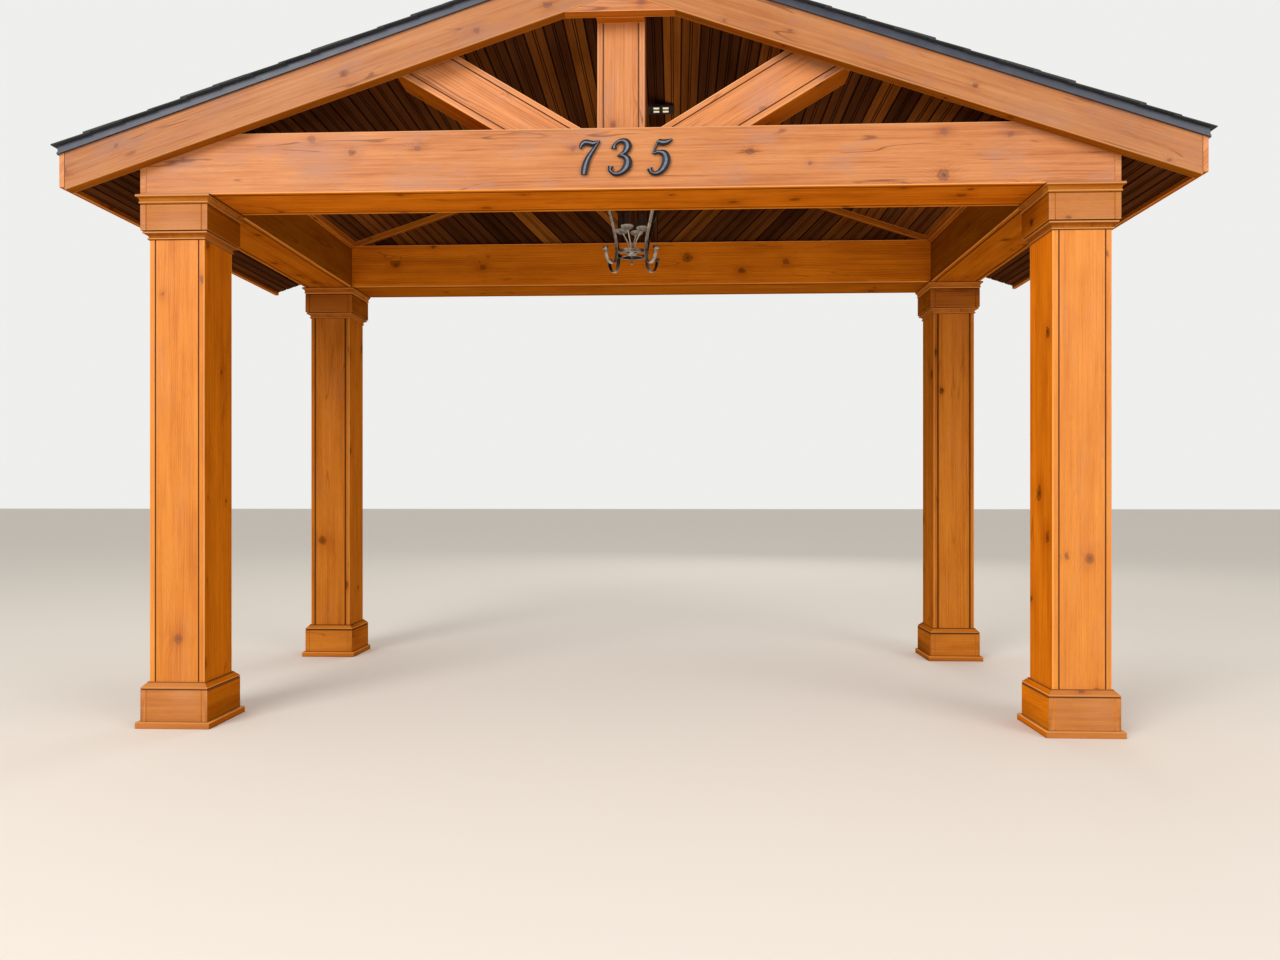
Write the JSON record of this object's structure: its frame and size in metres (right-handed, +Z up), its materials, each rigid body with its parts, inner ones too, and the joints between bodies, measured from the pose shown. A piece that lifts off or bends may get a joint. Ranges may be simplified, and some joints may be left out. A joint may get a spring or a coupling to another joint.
{
  "type": "porch canopy",
  "caption": "Gabled timber porch canopy on boxed posts with moulded bases and capitals, a braced gable truss, beadboard ceiling, shingled roof and a hanging open lantern.",
  "frame": {"origin": "on the ground, under the middle of the roof's outline: halfway between the two eaves, and halfway between the wall plane and the roof's front edge", "axes": "+Z up, +Y towards the house wall, +X to the right seen from the front"},
  "size_m": [4.6846, 2.043, 3.2138],
  "materials": {
    "post_cedar": "orange stained cedar, satin",
    "face_cedar": "honey stained cedar, satin",
    "dark_beadboard": "dark brown stained beadboard",
    "roof_framing": "plain sawn framing and sheathing",
    "asphalt_shingle": "mineral coated asphalt shingle, matte",
    "edge_metal": "dark grey coated drip edge",
    "weathered_bronze": "weathered grey bronze",
    "pale_enamel": "pale enamelled metal, weathered",
    "vent_black": "black, with pale recessed cells"
  },
  "bodies": {
    "root": {"apex_plate": "face_cedar", "back_beam": "face_cedar", "back_left_base": "post_cedar", "back_left_capital": "post_cedar", "back_left_shaft": "post_cedar", "back_right_base": "post_cedar", "back_right_capital": "post_cedar", "back_right_shaft": "post_cedar", "ceiling_left": "dark_beadboard", "ceiling_right": "dark_beadboard", "ceiling_trim_left": "face_cedar", "ceiling_trim_right": "face_cedar", "ceiling_vent": "vent_black", "eave_drip_left": "edge_metal", "eave_drip_right": "edge_metal", "eave_fascia_left": "face_cedar", "eave_fascia_right": "face_cedar", "front_beam": "face_cedar", "front_left_base": "post_cedar", "front_left_capital": "post_cedar", "front_left_shaft": "post_cedar", "front_right_base": "post_cedar", "front_right_capital": "post_cedar", "front_right_shaft": "post_cedar", "gable_infill": "dark_beadboard", "gable_trim_left": "face_cedar", "gable_trim_right": "face_cedar", "king_head_block": "face_cedar", "king_post": "face_cedar", "lantern_candles": "pale_enamel", "lantern_frame": "weathered_bronze", "lantern_stem": "weathered_bronze", "rake_board_left": "face_cedar", "rake_board_right": "face_cedar", "rake_drip_left": "edge_metal", "rake_drip_right": "edge_metal", "ridge_cap": "asphalt_shingle", "roof_deck_left": "roof_framing", "roof_deck_right": "roof_framing", "shingles_left": "asphalt_shingle", "shingles_right": "asphalt_shingle", "side_beam_left": "face_cedar", "side_beam_right": "face_cedar", "strut_left": "face_cedar", "strut_right": "face_cedar"}
  },
  "joints": []
}
